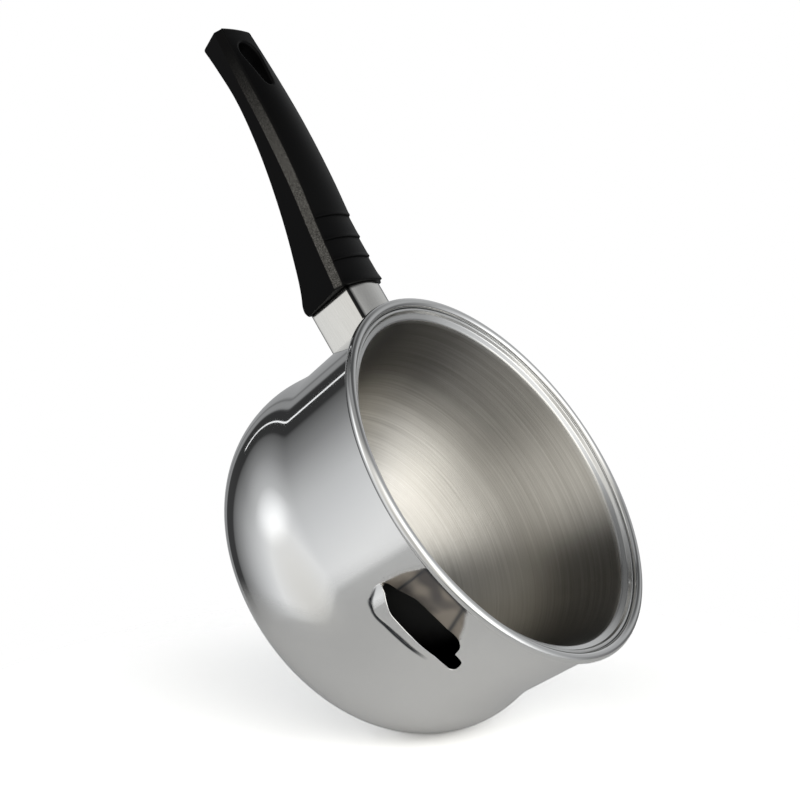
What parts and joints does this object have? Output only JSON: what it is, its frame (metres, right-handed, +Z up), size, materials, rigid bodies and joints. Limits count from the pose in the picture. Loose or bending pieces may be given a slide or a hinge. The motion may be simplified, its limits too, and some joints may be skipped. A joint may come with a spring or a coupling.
{
  "type": "double-walled melting pot",
  "caption": "Double-walled steel melting pot with a water jacket, a pressed filler under the rim, a round brushed bowl and one long moulded handle.",
  "frame": {"origin": "centre of the flat base, on the surface the pot stands on", "axes": "+Z up along the pot's axis, -X towards the end of the handle, -Y towards the front, where the filler is"},
  "size_m": [0.3242, 0.1775, 0.1142],
  "materials": {
    "polished_steel": "mirror-polished stainless steel",
    "brushed_steel": "circular brushed stainless steel",
    "plain_steel": "plain mill-finish steel",
    "ferrule_steel": "fine satin stainless steel",
    "black_bakelite": "satin black phenolic moulding, grained along its chamfers",
    "bolt_steel": "zinc-plated steel"
  },
  "bodies": {
    "root": {"outer_shell": "polished_steel", "inner_bowl": "brushed_steel", "handle_bracket": "plain_steel", "handle_ferrule": "ferrule_steel", "handle_grip": "black_bakelite", "handle_bolt": "bolt_steel", "bolt_washer": "bolt_steel"}
  },
  "joints": []
}
